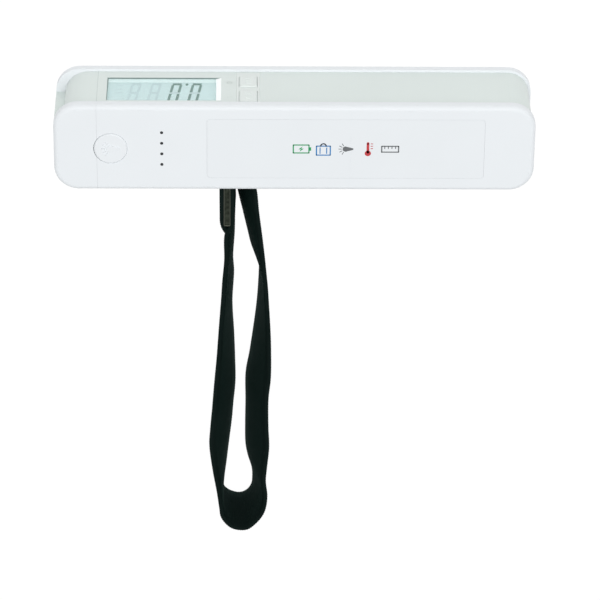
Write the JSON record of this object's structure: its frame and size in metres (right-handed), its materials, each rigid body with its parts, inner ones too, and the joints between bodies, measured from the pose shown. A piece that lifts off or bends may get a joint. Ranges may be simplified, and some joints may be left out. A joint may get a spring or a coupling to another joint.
{
  "type": "luggage scale power bank",
  "caption": "White bar-shaped power bank with a luggage scale, LCD, keys, end torch, charge lights and a black webbing loop that hangs from its load bar.",
  "frame": {"origin": "centre of the rear cover's flat outer face", "axes": "+X along the body away from the torch; +Y out of the side with the LCD and keys; +Z out of the front cover; the strap leaves the -Y side"},
  "size_m": [0.16, 0.1774, 0.0303],
  "materials": {
    "cover_white": "satin moulded ABS",
    "core_white": "satin moulded ABS, slightly warmer and darker than the covers",
    "panel_white": "smooth printed polycarbonate",
    "clear_plastic": "polished clear acrylic",
    "lcd_mint": "reflective LCD glass with a mint polariser",
    "light_guide": "diffusing light guide",
    "button_white": "satin",
    "key_white": "satin",
    "chrome_mirror": "vacuum metallised",
    "led_phosphor": "phosphor dome",
    "indicator_led": "moulded LED package",
    "board_green": "solder mask",
    "chip_black": "moulded epoxy",
    "aluminium": "milled",
    "gauge_film": "polyimide foil",
    "steel": "zinc plated",
    "clasp_steel": "dull antique coating",
    "webbing": "woven nylon webbing",
    "battery_steel": "nickel plated",
    "battery_wrap": "heat-shrunk PVC",
    "lead_pvc": "soft PVC insulation",
    "port_plastic": "moulded nylon",
    "contact_gold": "gold plated"
  },
  "bodies": {
    "housing": {"front_cover": "cover_white", "rear_cover": "cover_white", "end_cap": "cover_white", "panel_inlay": "panel_white", "core_housing": "core_white", "torch_bezel": "core_white", "torch_lens": "clear_plastic", "torch_reflector": "chrome_mirror", "torch_led": "led_phosphor", "torch_board": "board_green", "torch_switch": "chip_black", "lcd_window": "clear_plastic", "lcd_module": "lcd_mint", "lcd_backlight": "light_guide", "display_board": "board_green", "key_frame": "key_white", "key_switches": "chip_black", "main_board": "board_green", "charge_leds": "indicator_led", "charge_light_pipes": "clear_plastic", "controller_chips": "chip_black", "thermistor": "chip_black", "load_cell": "aluminium", "strain_gauges": "gauge_film", "cell_screws": "steel", "load_shackle": "steel", "strap_bar": "steel", "shackle_screws": "steel", "battery_cell": "battery_steel", "battery_sleeve": "battery_wrap", "battery_cradle": "port_plastic", "battery_tabs": "battery_steel", "battery_leads": "lead_pvc", "power_board": "board_green", "power_parts": "chip_black", "usb_a_shell": "steel", "usb_a_tongue": "port_plastic", "usb_a_contacts": "contact_gold", "micro_usb_shell": "steel", "micro_usb_tongue": "chip_black", "case_screws": "steel"},
    "strap": {"strap": "webbing", "strap_clasp": "clasp_steel", "strap_tail": "webbing"},
    "torch_button": {"torch_button": "button_white", "torch_plunger": "port_plastic"},
    "power_key": {"power_key": "key_white", "power_plunger": "port_plastic"},
    "unit_key": {"unit_key": "key_white", "unit_plunger": "port_plastic"}
  },
  "joints": [
    {"name": "strap_swing", "type": "hinge", "parent": "housing", "child": "strap", "pos_m": [-0.018, -0.009, 0.015], "axis": [0, 0, 1], "range_deg": [-25, 25]},
    {"name": "torch_press", "type": "slide", "parent": "housing", "child": "torch_button", "axis": [0, 0, -1], "range_m": [0, 0.0005], "stiffness_N_per_m": 800},
    {"name": "power_press", "type": "slide", "parent": "housing", "child": "power_key", "axis": [0, -1, 0], "range_m": [0, 0.0004], "stiffness_N_per_m": 800},
    {"name": "unit_press", "type": "slide", "parent": "housing", "child": "unit_key", "axis": [0, -1, 0], "range_m": [0, 0.0004], "stiffness_N_per_m": 800}
  ]
}
